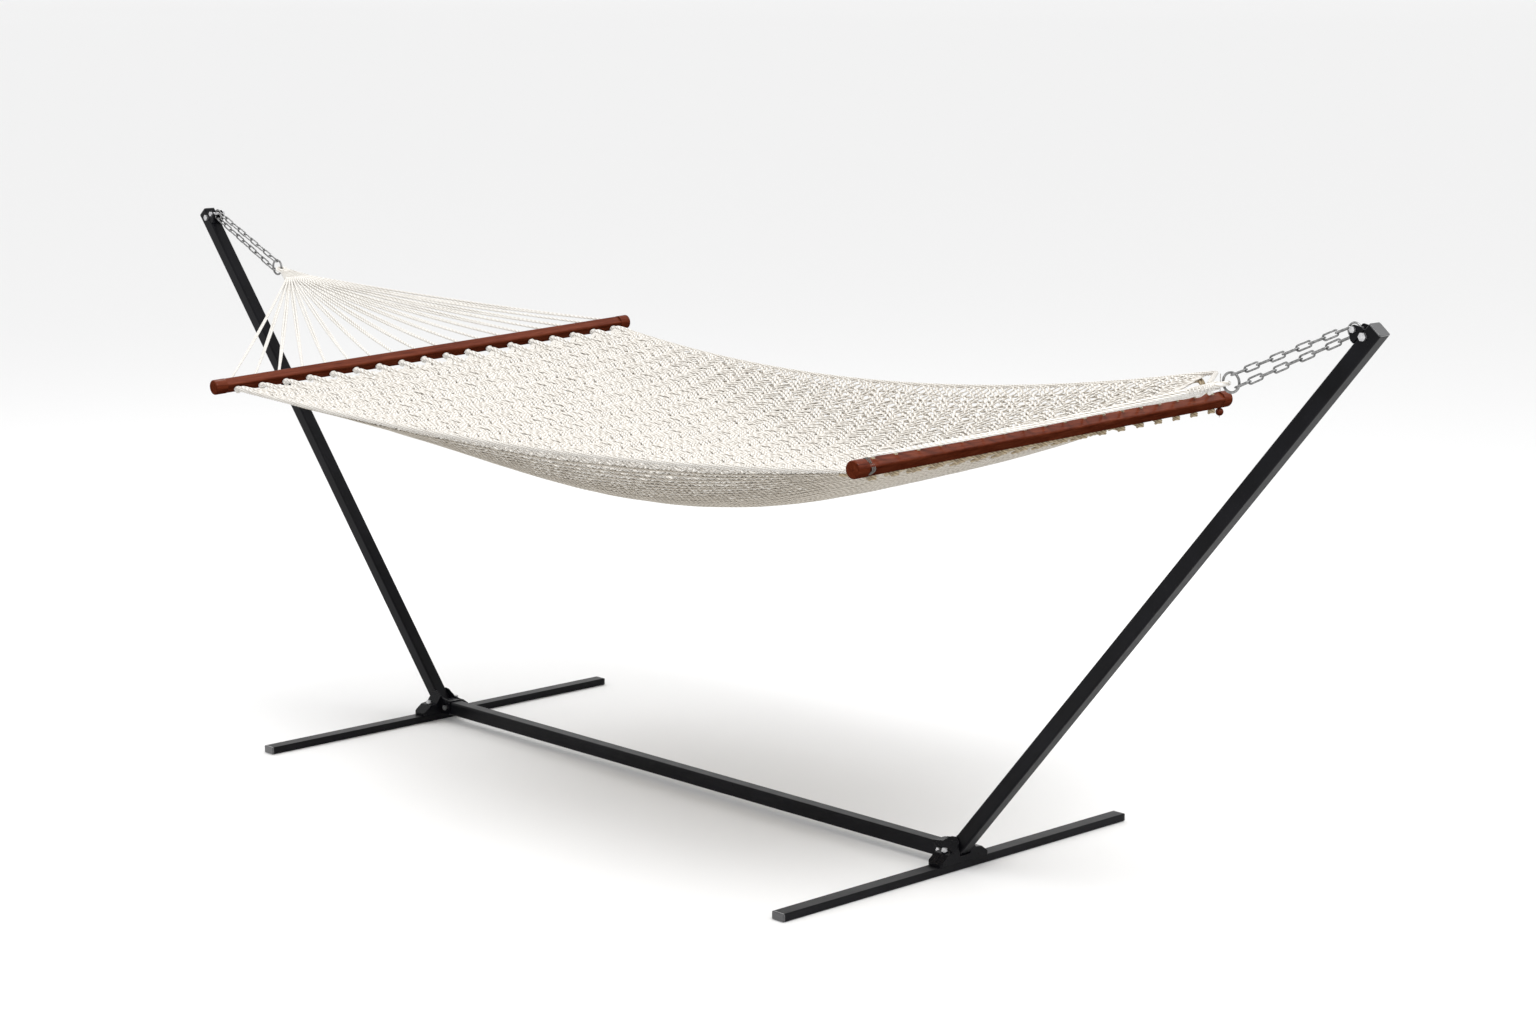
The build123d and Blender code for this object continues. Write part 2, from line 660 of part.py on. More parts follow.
RIM_STATIONS = [0, 0.09, 0.22, 0.36, 0.5, 0.64, 0.78, 0.91]
near_route = [bed_point(t, -1) for t in RIM_STATIONS] + [bed_point(1, -1)]
save(rope(near_route, BORDER_ROPE, "border_near"), "border_near")

# the far rope goes on over the right bar to the clew
OVER_BAR = Vector(TIE_SPOT.X + 6, TIE_SPOT.Y - 24, FAR_RIM[1] + 6)


# ================ clews ================


def clew(end, bar_middle, along, lift, throat_length, throat_wide):
    """The eye, the woven throat and the cords of one clew."""
    ring = Vector(end * CLEW_RING_AT.X, 0, CLEW_RING_AT.Z)
    pull = (bar_middle + lift - ring).normalized()
    grip = ring + pull * (CLEW_RING - CLEW_RING_WIRE / 2 - EYE_ROPE / 2 - EYE_SLACK)
    eye_at = grip + pull * EYE
    up = pull.cross(Vector(0, 1, 0)) * -end
    with BuildPart() as eye:
        with Locations(Plane(origin=eye_at, x_dir=(0, 1, 0), z_dir=up).location):
            Torus(EYE, EYE_ROPE / 2)
    start = eye_at + pull * (EYE + EYE_ROPE / 2 + 0.3)
    finish = start + pull * throat_length
    with BuildPart() as throat:
        with BuildSketch(Plane(origin=start, x_dir=(0, 1, 0), z_dir=pull)):
            RectangleRounded(30, THROAT_THICK, 7)
        with BuildSketch(Plane(origin=finish, x_dir=(0, 1, 0), z_dir=pull)):
            RectangleRounded(throat_wide, THROAT_THICK, 7)
        loft()
    with BuildPart() as cords:
        for k, spot in enumerate(bar_spots(bar_middle, along)):
            offset = (k - (HOLES - 1) / 2) * CORD_PITCH
            layer = 3.4 if k % 2 else -3.4
            leave = finish + Vector(0, offset, 0) + up * layer
            run = spot + lift - leave
            leave += pull * CLEW_CORD / 2 * run.get_angle(pull) / 45
            run = spot + lift - leave
            with BuildSketch(Plane(origin=leave, z_dir=run)):
                Circle(CLEW_CORD / 2)
            extrude(amount=run.length)
    print(f"clew at x {ring.X:.0f}: pull {pull}, eye at {eye_at}, throat ends at {finish}")
    return eye.part, throat.part, cords.part, finish


eye_left, throat_left, cords_left, _ = clew(-1, LEFT_BAR_AT, LEFT_ALONG, LEFT_BORING * -LEFT_LIFT, 62, 84)
save(eye_left, "clew_eye_left")
save(throat_left, "throat_left")
save(cords_left, "clew_cords_left")

right_lift = RIGHT_BORING * -RIGHT_LIFT
eye_right, throat_right, cords_right, right_mouth = clew(1, RIGHT_BAR_AT, RIGHT_ALONG, right_lift, 50, 84)
save(eye_right, "clew_eye_right")
save(throat_right, "throat_right")
save(cords_right, "clew_cords_right")

far_route = [bed_point(t, 1) for t in RIM_STATIONS]
far_route += [OVER_BAR, right_mouth + Vector(-6, 50, 10)]
save(rope(far_route, BORDER_ROPE, "border_far"), "border_far")


# ================ knots, tie and wrap ================


def bar_loops(middle, along, bore, entry, knot_reach, net_edge):
    """A cord through each hole with its knot on the bed's side, and its end at the net's edge."""
    with BuildPart() as loops:
        for spot in bar_spots(middle, along):
            with BuildSketch(Plane(origin=spot + bore * knot_reach, z_dir=bore)):
                Circle(LOOP_CORD / 2)
            extrude(amount=-(knot_reach + entry))
            with Locations(spot + bore * knot_reach):
                Sphere(KNOT / 2)
            if net_edge:
                run = net_edge - bore * knot_reach
                with BuildSketch(Plane(origin=spot + bore * knot_reach, z_dir=run)):
                    Circle(LOOP_CORD / 2)
                extrude(amount=run.length)
    return loops.part


right_edge = Vector(RIGHT_ALONG.Y, -RIGHT_ALONG.X, 0) * -(NET_START - 2.6) + Vector(0, 0, -14)
loops_left = bar_loops(LEFT_BAR_AT, LEFT_ALONG, LEFT_BORING, LEFT_LIFT - 4, LEFT_KNOT, None)
loops_right = bar_loops(RIGHT_BAR_AT, RIGHT_ALONG, RIGHT_BORING, RIGHT_LIFT - 3.2, RIGHT_KNOT, right_edge)
save(loops_left, "bar_loops_left")
save(loops_right, "bar_loops_right")

# the far rim is tied down to the right bar's end by a cord with a wooden bead under the bar
BEAD_AT = TIE_SPOT - Vector(0, 0, BAR_SIDE * 0.62 + BEAD / 2 + 1)
with BuildPart() as tie_bead:
    with Locations(BEAD_AT):
        Sphere(BEAD / 2)
        Cylinder(TIE_CORD / 2 + 0.2, BEAD + 2, mode=Mode.SUBTRACT)
save(tie_bead.part, "tie_bead")

with BuildPart() as tie_cord:
    with BuildSketch(Plane.XY.offset(BEAD_AT.Z - BEAD / 2)):
        with Locations((TIE_SPOT.X, TIE_SPOT.Y)):
            Circle(TIE_CORD / 2)
    extrude(amount=OVER_BAR.Z - BORDER_ROPE / 2 - BEAD_AT.Z + BEAD / 2)
    with Locations((TIE_SPOT.X, TIE_SPOT.Y, BEAD_AT.Z - BEAD / 2 - 4)):
        Sphere(4)
save(tie_cord.part, "tie_cord")

# the near rim is lashed to the right bar's other end
with BuildPart() as end_lashing:
    flat = Vector(RIGHT_ALONG.Y, -RIGHT_ALONG.X, 0)
    for k in range(WRAP_TURNS):
        at = RIGHT_BAR_AT + RIGHT_ALONG * (WRAP_AT + 5.0 * k)
        with BuildSketch(Plane(origin=at, x_dir=flat, z_dir=RIGHT_ALONG)):
            outside = BAR_SIDE + 7
            RectangleRounded(outside, outside, BAR_CORNER + 3, rotation=BAR_TURN)
            gap = BAR_SIDE + 0.6
            RectangleRounded(gap, gap, BAR_CORNER, rotation=BAR_TURN, mode=Mode.SUBTRACT)
        extrude(amount=3.2)
save(end_lashing.part, "end_lashing")
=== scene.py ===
from math import cos, pi, radians, sin

import bpy
import numpy as np
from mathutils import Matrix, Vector


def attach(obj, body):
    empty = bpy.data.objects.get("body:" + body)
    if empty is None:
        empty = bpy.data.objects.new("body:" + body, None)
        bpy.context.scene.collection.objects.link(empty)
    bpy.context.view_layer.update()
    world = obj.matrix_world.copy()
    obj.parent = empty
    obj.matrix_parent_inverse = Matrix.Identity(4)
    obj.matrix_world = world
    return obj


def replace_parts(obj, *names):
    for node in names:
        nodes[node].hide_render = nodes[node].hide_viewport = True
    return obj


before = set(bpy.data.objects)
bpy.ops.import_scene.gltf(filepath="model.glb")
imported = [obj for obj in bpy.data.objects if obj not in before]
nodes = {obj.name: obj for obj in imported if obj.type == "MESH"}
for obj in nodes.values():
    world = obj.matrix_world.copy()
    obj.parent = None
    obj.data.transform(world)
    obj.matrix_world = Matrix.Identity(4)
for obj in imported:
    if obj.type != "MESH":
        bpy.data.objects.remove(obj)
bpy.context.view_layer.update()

# Everything is in metres in the CAD model's frame: +X along the stand, +Y to the far side, +Z up.

# ---- driving dimensions, as in the CAD model ----
LEFT_BAR = Vector((-1.053, 0, 1.077))
RIGHT_BAR = Vector((1.319, 0, 1.108))
LEFT_YAW = radians(-1.25)
RIGHT_YAW = radians(5.28)
LEFT_RISE = 0.048
HOLES = 18
HOLE_PITCH = 0.078
BAR_TURN = radians(35)
NET_START = 0.026
NET_HALF = 0.672
NET_WAIST = 0.03
NEAR_RIM = (1.036, 1.094)
FAR_RIM = (1.100, 1.173)
NEAR_SAG = 0.058
FAR_SAG = 0.091
BELLY = 0.144
BELLY_SKEW = 0.7
SLACK = 0.005
RING = Vector((1.824, 0, 1.271))
RING_RADIUS = 0.022
TIE_AT = 0.700

# ---- ropes ----
NET_CORD = (0.0100, 0.0052)  # the net's cords are pulled flat: width and height
CLEW_CORD = 0.0066
LOOP_CORD = 0.0085
BORDER_ROPE = 0.012
CROSSINGS = 56  # cells of the net from bar to bar
BUNDLES = 36  # of each slant, two from each hole
BUNDLE = 3  # cords of a bundle
BUNDLE_STEP = 0.0104  # between neighbouring cords of one bundle
UNDER_CORDS = 108  # that run lengthwise below the weave
UNDER_CORD = (0.0094, 0.0050)
UNDER_DROP = 0.0046
UNDER_REACH = 0.985  # in s, of the outermost
WRAP = 0.998  # in s, where a bundle turns over a border rope
WRAP_REACH = 0.03  # in s, over which it rises there
WRAP_LIFT = 0.0030
FAN = 0.065  # length over which a bundle spreads from its hole
FAN_POWER = 1.15
WEAVE_LIFT = 0.0019  # a bundle's rise and fall where it crosses another
NET_FLAT = (1.344, 2.32)  # the net's width at the bars, and its length between them
STRANDS = 3  # of a laid rope
STRAND_SHARE = 0.52  # a strand's diameter, as a share of the rope's
rng = np.random.default_rng(7)


# ================ materials ================


def new_material(name, roughness, metallic=0.0):
    mat = bpy.data.materials.new(name)
    mat.use_nodes = True
    shader = mat.node_tree.nodes["Principled BSDF"]
    shader.inputs["Roughness"].default_value = roughness
    shader.inputs["Metallic"].default_value = metallic
    return mat, mat.node_tree.nodes, mat.node_tree.links, shader


def noise(tree_nodes, links, scale, detail, vector=None, rough=0.6):
    tex = tree_nodes.new("ShaderNodeTexNoise")
    tex.inputs["Scale"].default_value = scale
    tex.inputs["Detail"].default_value = detail
    tex.inputs["Roughness"].default_value = rough
    if vector:
        links.new(vector, tex.inputs["Vector"])
    return tex


def ramp(tree_nodes, links, source, stops):
    """A colour ramp through (position, colour) stops."""
    made = tree_nodes.new("ShaderNodeValToRGB")
    made.color_ramp.elements[0].position = stops[0][0]
    made.color_ramp.elements[0].color = (*stops[0][1], 1)
    made.color_ramp.elements[1].position = stops[-1][0]
    made.color_ramp.elements[1].color = (*stops[-1][1], 1)
    for at, colour in stops[1:-1]:
        made.color_ramp.elements.new(at).color = (*colour, 1)
    links.new(source, made.inputs["Fac"])
    return made.outputs["Color"]


def value_ramp(tree_nodes, links, source, low, high, source_range=(0.0, 1.0)):
    made = tree_nodes.new("ShaderNodeMapRange")
    made.inputs["From Min"].default_value = source_range[0]
    made.inputs["From Max"].default_value = source_range[1]
    made.inputs["To Min"].default_value = low
    made.inputs["To Max"].default_value = high
    links.new(source, made.inputs["Value"])
    return made.outputs["Result"]


def maths(tree_nodes, links, operation, *values):
    """A math node; each value is a socket or a number."""
    made = tree_nodes.new("ShaderNodeMath")
    made.operation = operation
    for k, value in enumerate(values):
        if isinstance(value, (int, float)):
            made.inputs[k].default_value = value
        else:
            links.new(value, made.inputs[k])
    return made.outputs["Value"]


def bump(tree_nodes, links, shader, height, strength, distance):
    made = tree_nodes.new("ShaderNodeBump")
    made.inputs["Strength"].default_value = strength
    made.inputs["Distance"].default_value = distance
    links.new(height, made.inputs["Height"])
    links.new(made.outputs["Normal"], shader.inputs["Normal"])


def powder_coat(name, dark, light, roughness):
    """Semi-gloss powder coat: a faint orange peel and a few rubbed patches."""
    mat, n, links, shader = new_material(name, roughness)
    at = n.new("ShaderNodeTexCoord").outputs["Object"]
    patches = noise(n, links, 9.0, 5.0, at)
    colour = ramp(n, links, patches.outputs["Fac"], [(0.35, dark), (0.75, light)])
    links.new(colour, shader.inputs["Base Color"])
    rubbed = noise(n, links, 22.0, 6.0, at)
    links.new(
        value_ramp(n, links, rubbed.outputs["Fac"], roughness - 0.08, roughness + 0.12),
        shader.inputs["Roughness"],
    )
    peel = noise(n, links, 900.0, 2.0, at)
    bump(n, links, shader, peel.outputs["Fac"], 0.12, 0.0004)
    shader.inputs["Specular IOR Level"].default_value = 0.10
    return mat


def moulded_plastic(name, dark, light, roughness):
    mat, n, links, shader = new_material(name, roughness)
    at = n.new("ShaderNodeTexCoord").outputs["Object"]
    cloud = noise(n, links, 40.0, 3.0, at)
    links.new(ramp(n, links, cloud.outputs["Fac"], [(0.3, dark), (0.8, light)]), shader.inputs["Base Color"])
    grain = noise(n, links, 1400.0, 2.0, at)
    bump(n, links, shader, grain.outputs["Fac"], 0.1, 0.0002)
    shader.inputs["Coat Weight"].default_value = 1.0
    return mat


def zinc(name, dark, light, roughness):
    """Zinc plate: dull grey with lighter rubbed places."""
    mat, n, links, shader = new_material(name, roughness, 0.95)
    at = n.new("ShaderNodeTexCoord").outputs["Object"]
    cloud = noise(n, links, 160.0, 6.0, at)
    links.new(ramp(n, links, cloud.outputs["Fac"], [(0.3, dark), (0.72, light)]), shader.inputs["Base Color"])
    links.new(
        value_ramp(n, links, cloud.outputs["Fac"], roughness - 0.1, roughness + 0.15),
        shader.inputs["Roughness"],
    )
    pits = noise(n, links, 1800.0, 3.0, at)
    bump(n, links, shader, pits.outputs["Fac"], 0.15, 0.0003)
    return mat


def varnished_wood(name, turn):
    """Dark red-brown hardwood with its grain along the bar, under a thin varnish."""
    mat, n, links, shader = new_material(name, 0.42)
    at = n.new("ShaderNodeTexCoord").outputs["Object"]
    mapping = n.new("ShaderNodeMapping")
    mapping.inputs["Rotation"].default_value = (0, 0, turn)
    mapping.inputs["Scale"].default_value = (1.0, 0.05, 1.0)
    links.new(at, mapping.inputs["Vector"])
    stretched = mapping.outputs["Vector"]
    warp = noise(n, links, 30.0, 3.0, stretched)
    grain = noise(n, links, 210.0, 8.0, stretched, 0.7)
    share = maths(n, links, "MULTIPLY", warp.outputs["Fac"], 0.35)
    fac = maths(n, links, "MULTIPLY_ADD", grain.outputs["Fac"], 0.65, share)
    stops = [(0.3, (0.034, 0.006, 0.003)), (0.48, (0.115, 0.022, 0.009)), (0.68, (0.20, 0.050, 0.023))]
    # painted light and shade: the colour is lighter on upward faces and darker on downward ones
    facing = n.new("ShaderNodeSeparateXYZ")
    links.new(n.new("ShaderNodeNewGeometry").outputs["Normal"], facing.inputs["Vector"])
    painted_light_colour = n.new("ShaderNodeVectorMath")
    painted_light_colour.operation = "SCALE"
    links.new(ramp(n, links, fac, stops), painted_light_colour.inputs[0])
    painted_light_scale = value_ramp(n, links, facing.outputs["Z"], 0.45, 0.90, source_range=(-0.5, 0.7))
    links.new(painted_light_scale, painted_light_colour.inputs["Scale"])
    links.new(painted_light_colour.outputs["Vector"], shader.inputs["Base Color"])
    links.new(value_ramp(n, links, grain.outputs["Fac"], 0.3, 0.55), shader.inputs["Roughness"])
    bump(n, links, shader, fac, 0.25, 0.0006)
    # and the varnish only shines where it faces the sky
    shine = value_ramp(n, links, facing.outputs["Z"], 0.0, 0.30, source_range=(0.1, 0.6))
    links.new(shine, shader.inputs["Coat Weight"])
    shader.inputs["Coat Roughness"].default_value = 0.15
    shader.inputs["Specular IOR Level"].default_value = 0.0
    return mat


def twisted_rope(name, shadow, middle, light, strands, lay, depth):
    """Laid rope: the tube's UVs run once round it and one unit per diameter along it."""
    mat, n, links, shader = new_material(name, 0.86)
    uv = n.new("ShaderNodeUVMap")
    uv.uv_map = "rope"
    split = n.new("ShaderNodeSeparateXYZ")
    links.new(uv.outputs["UV"], split.inputs["Vector"])
    around = maths(n, links, "MULTIPLY", split.outputs["X"], strands)
    along = maths(n, links, "MULTIPLY_ADD", split.outputs["Y"], lay, around)
    wave = maths(n, links, "SINE", maths(n, links, "MULTIPLY", along, 2 * pi))
    groove = value_ramp(n, links, wave, 0, 1, source_range=(-1, 1))
    at = n.new("ShaderNodeTexCoord").outputs["Object"]
    cloud = noise(n, links, 35.0, 5.0, at)
    fuzz = noise(n, links, 900.0, 3.0, at)
    shade = value_ramp(n, links, groove, 0.1, 0.62)
    tone = maths(n, links, "MULTIPLY_ADD", cloud.outputs["Fac"], 0.35, shade)
    stops = [(0.1, shadow), (0.5, middle), (0.9, light)]
    links.new(ramp(n, links, tone, stops), shader.inputs["Base Color"])
    height = maths(n, links, "MULTIPLY_ADD", fuzz.outputs["Fac"], 0.12, groove)
    bump(n, links, shader, height, 0.8, depth)
    shader.inputs["Sheen Weight"].default_value = 0.25
    shader.inputs["Sheen Roughness"].default_value = 0.6
    shader.inputs["Specular IOR Level"].default_value = 0.25
    return mat


POWDER = ((0.0025, 0.0025, 0.0032), (0.0055, 0.0055, 0.0075))
black_steel = powder_coat("black_steel", *POWDER, 0.30)
bracket_steel = powder_coat("bracket_steel", *POWDER, 0.26)
black_plastic = moulded_plastic("black_plastic", (0.010, 0.010, 0.012), (0.024, 0.024, 0.028), 0.24)
bolt_zinc = zinc("bolt_zinc", (0.42, 0.42, 0.43), (0.74, 0.74, 0.75), 0.34)
chain_zinc = zinc("chain_zinc", (0.11, 0.11, 0.11), (0.38, 0.38, 0.38), 0.36)
wood_left = varnished_wood("wood_left", LEFT_YAW)
wood_right = varnished_wood("wood_right", -RIGHT_YAW)
COTTON = ((0.36, 0.305, 0.245), (0.65, 0.62, 0.57), (0.80, 0.785, 0.75))
CLEAN_COTTON = ((0.38, 0.34, 0.28), (0.68, 0.655, 0.615), (0.82, 0.81, 0.78))
SHADED_COTTON = ((0.20, 0.16, 0.115), (0.44, 0.395, 0.33), (0.60, 0.56, 0.49))
# painted shade: the right bar's loops and knots sit under the bar and take this darker brown copy of the
# cotton
KNOT_SHADE_COTTON = ((0.12, 0.085, 0.045), (0.30, 0.23, 0.135), (0.46, 0.38, 0.26))
net_cotton = twisted_rope("net_cotton", *COTTON, 3, 0.55, 0.0012)
# painted shade: the cords below the weave take a darker copy of the cotton, which also darkens the gaps seen
# from above
under_cotton = twisted_rope("under_cotton", *SHADED_COTTON, 3, 0.55, 0.0012)
border_cotton = twisted_rope("border_cotton", *COTTON, 3, 0.6, 0.0022)
clew_cotton = twisted_rope("clew_cotton", *CLEAN_COTTON, 3, 0.5, 0.0008)
knot_shade_cotton = twisted_rope("knot_shade_cotton", *KNOT_SHADE_COTTON, 3, 0.55, 0.0010)
GREY = ((0.03, 0.027, 0.024), (0.09, 0.083, 0.073), (0.20, 0.185, 0.165))
grey_cord = twisted_rope("grey_cord", *GREY, 3, 0.6, 0.0006)

MADE_OF = {
    black_steel: ["base_beam", "foot_left", "foot_right", "post_left", "post_right"],
    bracket_steel: ["bracket_left", "bracket_right", "hanger_left", "hanger_right"],
    black_plastic: [name for name in nodes if "_cap_" in name],
    bolt_zinc: [name for name in nodes if name.split("_")[-1] in ("bolts", "nuts", "washers")]
    + ["hanger_pin_left", "hanger_pin_right"],
    chain_zinc: [name for name in nodes if name.startswith("chain_") or "_ring_" in name],
    wood_left: ["bar_left"],
    wood_right: ["bar_right", "tie_bead"],
}
for material, names in MADE_OF.items():
    for name in names:
        mesh = nodes[name].data
        mesh.materials.clear()
        mesh.materials.append(material)


# ================ the net's surface ================


def bed_yaw(t):
    return LEFT_YAW * (1 - t) + RIGHT_YAW * t


def bed_middle(t):
    return (LEFT_BAR.x + NET_START) * (1 - t) + (RIGHT_BAR.x - NET_START) * t


def bed_half(t):
    return NET_HALF - NET_WAIST * (1 - (2 * t - 1) ** 2)


def bed_height(t, s):
    """Height of the net; t runs from the left bar to the right, s from the near rim to the far."""
    u = 2 * t - 1
    near = NEAR_RIM[0] * (1 - t) + NEAR_RIM[1] * t - NEAR_SAG * (1 - u * u)
    far = FAR_RIM[0] * (1 - t) + FAR_RIM[1] * t - FAR_SAG * (1 - u * u)
    rim = near * (1 - s) / 2 + far * (1 + s) / 2
    belly = BELLY * (1 - abs(u) ** 1.8) * (1 + BELLY_SKEW * u) * (1 - abs(s) ** 5)
    belly = belly + SLACK * (1 - s * s)
    share = (1 + s) / 2
    corner = (FAR_RIM[1] - NEAR_RIM[1]) * (share - share**8) * t**5
    return rim - belly - corner


def bed_points(t, s):
    reach = s * bed_half(t)
    yaw = bed_yaw(t)
    x = bed_middle(t) - reach * np.sin(yaw)
    return np.stack([x, reach * np.cos(yaw), bed_height(t, s)], -1)


# ================ tubes ================


def tube(points, radius, sides, closed_ends=True, height=None):
    """Vertices, faces, UVs and end faces of a tube along points; radius may be one number or one per point.

    height is the half height of a flattened one.
    """
    points = np.array([tuple(p) for p in points], float)
    count = len(points)
    radius = np.broadcast_to(np.asarray(radius, float), (count,))
    height = radius if height is None else np.broadcast_to(np.asarray(height, float), (count,))
    tangent = np.gradient(points, axis=0)
    tangent /= np.linalg.norm(tangent, axis=1, keepdims=True) + 1e-12
    up = np.array([0.0, 0.0, 1.0])
    if np.abs(tangent[:, 2]).max() > 0.95:
        up = np.array([1.0, 0.0, 0.0]) if np.abs(tangent[:, 0]).max() < 0.95 else np.array([0.0, 1.0, 0.0])
    side = np.cross(tangent, up)
    side /= np.linalg.norm(side, axis=1, keepdims=True) + 1e-12
    top = np.cross(side, tangent)
    angle = np.linspace(0, 2 * pi, sides, endpoint=False)
    wide = (side * radius[:, None])[:, None] * np.cos(angle)[None, :, None]
    tall = (top * height[:, None])[:, None] * np.sin(angle)[None, :, None]
    verts = (points[:, None] + wide + tall).reshape(-1, 3)
    i = np.arange(count - 1)[:, None] * sides
    j = np.arange(sides)[None, :]
    k = (j + 1) % sides
    faces = np.stack([i + j, i + k, i + sides + k, i + sides + j], -1).reshape(-1, 4)
    run = np.concatenate([[0], np.cumsum(np.linalg.norm(np.diff(points, axis=0), axis=1))])
    run = run / (2 * radius.mean())
    u0, u1 = j / sides, (j + 1) / sides
    v0, v1 = run[:-1, None], run[1:, None]
    shape = (count - 1, sides)
    uv = np.stack(
        [
            np.stack(np.broadcast_arrays(u0, v0), -1),
            np.stack(np.broadcast_arrays(u1, v0), -1),
            np.stack(np.broadcast_arrays(u1, v1), -1),
            np.stack(np.broadcast_arrays(u0, v1), -1),
        ],
        2,
    ).reshape(shape[0] * shape[1] * 4, 2)
    caps = []
    if closed_ends:
        caps = [list(range(sides))[::-1], [(count - 1) * sides + q for q in range(sides)]]
    return verts, faces, uv, caps


def mesh_of(name, tubes, material):
    """One smooth mesh from many tubes, on the bed's body."""
    verts, polys, uvs, start = [], [], [], 0
    caps = []
    for v, f, uv, ends in tubes:
        verts.append(v)
        polys.append(f + start)
        uvs.append(uv)
        caps += [[q + start for q in end] for end in ends]
        start += len(v)
    verts = np.concatenate(verts)
    quads = np.concatenate(polys)
    uv = np.concatenate(uvs)
    loops = np.concatenate([quads.ravel(), np.array([q for end in caps for q in end], int)])
    totals = np.concatenate([np.full(len(quads), 4), np.array([len(end) for end in caps], int)])
    starts = np.concatenate([[0], np.cumsum(totals)[:-1]])
    mesh = bpy.data.meshes.new(name)
    mesh.vertices.add(len(verts))
    mesh.vertices.foreach_set("co", verts.ravel())
    mesh.loops.add(len(loops))
    mesh.loops.foreach_set("vertex_index", loops.astype(np.int32))
    mesh.polygons.add(len(totals))
    mesh.polygons.foreach_set("loop_start", starts.astype(np.int32))
    mesh.update(calc_edges=True)
    layer = mesh.uv_layers.new(name="rope")
    padded = np.zeros((len(loops), 2))
    padded[: len(uv)] = uv
    layer.data.foreach_set("uv", padded.ravel())
    mesh.polygons.foreach_set("use_smooth", np.ones(len(totals), bool))
    mesh.update()
    mesh.validate()
    piece = bpy.data.objects.new(name, mesh)
    bpy.context.collection.objects.link(piece)
    mesh.materials.append(material)
    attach(piece, "bed")
    return piece


def smooth_curve(points, step=0.006):
    """Points along the NURBS spline that a rope's route controls."""
    data = bpy.data.curves.new("route", "CURVE")
    data.dimensions = "3D"
    data.resolution_u = 24
    spline = data.splines.new("NURBS")
    spline.points.add(len(points) - 1)
    for point, at in zip(spline.points, points):
        point.co = (*at, 1)
    spline.order_u = 3
    spline.use_endpoint_u = True
    carrier = bpy.data.objects.new("route", data)
    mesh = bpy.data.meshes.new_from_object(carrier)
    line = np.array([v.co[:] for v in mesh.vertices])
    bpy.data.objects.remove(carrier)
    bpy.data.meshes.remove(mesh)
    return resample(line, step)


def resample(line, step):
    """Evenly spaced points along a line."""
    line = np.array([tuple(p) for p in line], float)
    run = np.concatenate([[0], np.cumsum(np.linalg.norm(np.diff(line, axis=0), axis=1))])
    count = max(3, int(run[-1] / step) + 1)
    at = np.linspace(0, run[-1], count)
    return np.stack([np.interp(at, run, line[:, k]) for k in range(3)], -1)


def laid_rope(line, diameter, pitch):
    """The strands of a laid rope as separate twisted tubes."""
    tangent = np.gradient(line, axis=0)
    tangent /= np.linalg.norm(tangent, axis=1, keepdims=True)
    up = np.array([0.0, 0.0, 1.0])
    side = np.cross(tangent, up)
    side /= np.linalg.norm(side, axis=1, keepdims=True) + 1e-12
    top = np.cross(side, tangent)
    run = np.concatenate([[0], np.cumsum(np.linalg.norm(np.diff(line, axis=0), axis=1))])
    strand = diameter / 2 * STRAND_SHARE
    offset = diameter / 2 - strand
    made = []
    for k in range(STRANDS):
        angle = (2 * pi * (run / pitch + k / STRANDS))[:, None]
        path = line + offset * (side * np.cos(angle) + top * np.sin(angle))
        made.append(tube(path, strand, 8))
    return made


def bar_along(yaw, rise):
    return Vector((-sin(yaw), cos(yaw), rise)).normalized()


def bar_spots(middle, along):
    return [middle + along * ((k - (HOLES - 1) / 2) * HOLE_PITCH) for k in range(HOLES)]


LEFT_ALONG = bar_along(LEFT_YAW, LEFT_RISE)
RIGHT_ALONG = bar_along(RIGHT_YAW, 0)
left_spots = bar_spots(LEFT_BAR, LEFT_ALONG)
right_spots = bar_spots(RIGHT_BAR, RIGHT_ALONG)
LEFT_LEVEL = Vector((LEFT_ALONG.y, -LEFT_ALONG.x, 0)).normalized()
RIGHT_LEVEL = Vector((RIGHT_ALONG.y, -RIGHT_ALONG.x, 0)).normalized()
LEFT_BORING = LEFT_LEVEL * cos(BAR_TURN) - LEFT_LEVEL.cross(LEFT_ALONG) * sin(BAR_TURN)
DOWN = Vector((0, 0, -1))


# ================ the net ================

CORD_STEP = BUNDLE_STEP / NET_HALF
SLOPE = CROSSINGS / BUNDLES
t_line = np.linspace(0, 1, CROSSINGS * 6 + 1)
from_left = t_line * NET_FLAT[1]
from_right = NET_FLAT[1] - from_left
gather_left = np.clip(1 - from_left / FAN, 0, 1) ** FAN_POWER
gather_right = np.clip(1 - from_right / FAN, 0, 1) ** FAN_POWER
spread = np.clip(np.minimum(from_left, from_right) / FAN, 0, 1)


def fold(value):
    """Reflects a cord's course at the border ropes, at s of -1 and 1."""
    return 1 - np.abs((value + 1) % 4 - 2)


def wandering(amplitude, slowest, fastest):
    """A slow random wave along the net, between two frequencies."""
    return amplitude * np.sin(t_line * rng.uniform(slowest, fastest) + rng.uniform(0, 2 * pi))


def hole_of(course):
    """Where in s the hole is that a bundle at this course shares with its neighbour."""
    bundle = round((course + 1) * BUNDLES / 2 - 0.5)
    return (bundle // 2 - (HOLES - 1) / 2) * HOLE_PITCH / NET_HALF


